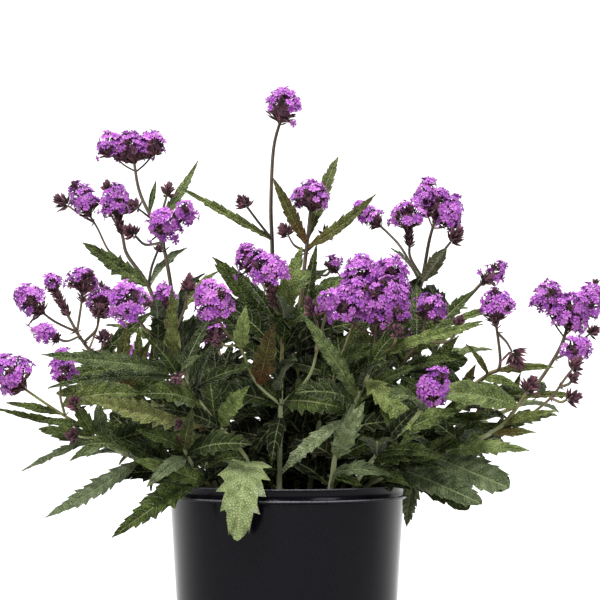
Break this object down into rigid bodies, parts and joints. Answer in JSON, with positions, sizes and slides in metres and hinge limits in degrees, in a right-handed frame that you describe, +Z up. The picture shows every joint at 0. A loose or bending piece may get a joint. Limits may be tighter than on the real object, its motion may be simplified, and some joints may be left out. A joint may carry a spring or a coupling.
{
  "type": "potted verbena",
  "caption": "Bushy verbena with upright square stems, toothed lance leaves, dark bud spikes and violet flower heads, growing in a round black nursery pot.",
  "frame": {"origin": "middle of the pot's flat underside, on the surface it stands on", "axes": "+Z up through the plant, -Y towards the front that is seen first, +X to the right of that front"},
  "size_m": [0.4914, 0.3709, 0.4676],
  "materials": {
    "pot_plastic": "thin thermoformed plastic with a soft sheen",
    "potting_soil": "damp crumbly potting compost",
    "foliage": "rough hairy leaf and stem, dull green",
    "petals": "soft matt violet petals"
  },
  "bodies": {
    "root": {"pot": "pot_plastic", "soil": "potting_soil", "stem_tall_centre": "foliage", "flower_tall_centre_a": "petals", "stem_centre_right": "foliage", "flower_centre_right_a": "petals", "flower_centre_right_b": "petals", "stem_front_middle": "foliage", "flower_front_middle_a": "petals", "flower_front_middle_b": "petals", "flower_front_middle_c": "petals", "flower_front_middle_d": "petals", "stem_front_left": "foliage", "flower_front_left_a": "petals", "flower_front_left_b": "petals", "stem_left_behind": "foliage", "flower_left_behind_a": "petals", "flower_left_behind_b": "petals", "stem_far_left_tall": "foliage", "flower_far_left_tall_a": "petals", "flower_far_left_tall_b": "petals", "stem_far_left": "foliage", "flower_far_left_a": "petals", "flower_far_left_b": "petals", "flower_far_left_c": "petals", "flower_far_left_d": "petals", "flower_far_left_e": "petals", "stem_low_left": "foliage", "flower_low_left_a": "petals", "flower_low_left_b": "petals", "stem_low_front_left": "foliage", "stem_cluster_front": "foliage", "flower_cluster_front_a": "petals", "stem_cluster_back": "foliage", "stem_right_middle": "foliage", "flower_right_middle_a": "petals", "stem_tall_right": "foliage", "flower_tall_right_a": "petals", "flower_tall_right_b": "petals", "flower_tall_right_c": "petals", "stem_right": "foliage", "flower_right_a": "petals", "stem_far_right_behind": "foliage", "flower_far_right_behind_a": "petals", "flower_far_right_behind_b": "petals", "stem_far_right": "foliage", "flower_far_right_a": "petals", "stem_low_right": "foliage", "stem_front_right": "foliage", "flower_front_right_a": "petals", "stem_back_right": "foliage", "flower_back_right_a": "petals", "flower_back_right_b": "petals", "stem_back": "foliage", "flower_back_a": "petals", "stem_back_left": "foliage", "flower_back_left_a": "petals", "stem_back_far_left": "foliage", "flower_back_far_left_a": "petals"}
  },
  "joints": []
}
